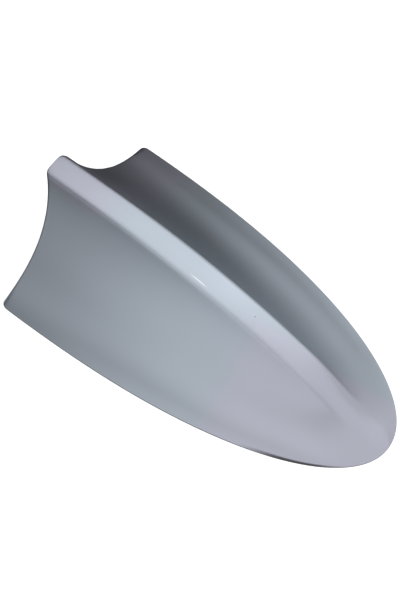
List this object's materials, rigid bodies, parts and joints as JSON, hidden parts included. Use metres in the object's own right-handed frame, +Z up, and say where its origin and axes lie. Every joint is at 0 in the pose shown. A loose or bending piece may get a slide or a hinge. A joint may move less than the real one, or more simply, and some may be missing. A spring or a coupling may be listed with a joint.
{
  "type": "fin antenna cover",
  "caption": "Moulded shark-fin roof antenna cover: a hollow painted shell with a flat-topped fin, flared sides and a flat foot that is stuck to a car roof.",
  "frame": {"origin": "in the plane of the flat foot, under the middle of the whole length and width", "axes": "+X forward to the rounded nose, +Y to the left side, +Z up to the top of the fin"},
  "size_m": [0.1612, 0.093, 0.0515],
  "materials": {
    "painted_shell": "light blue-grey paint under a gloss clear coat, on moulded ABS that is plain and satin on the underside"
  },
  "bodies": {
    "root": {"fin_cover": "painted_shell"}
  },
  "joints": []
}
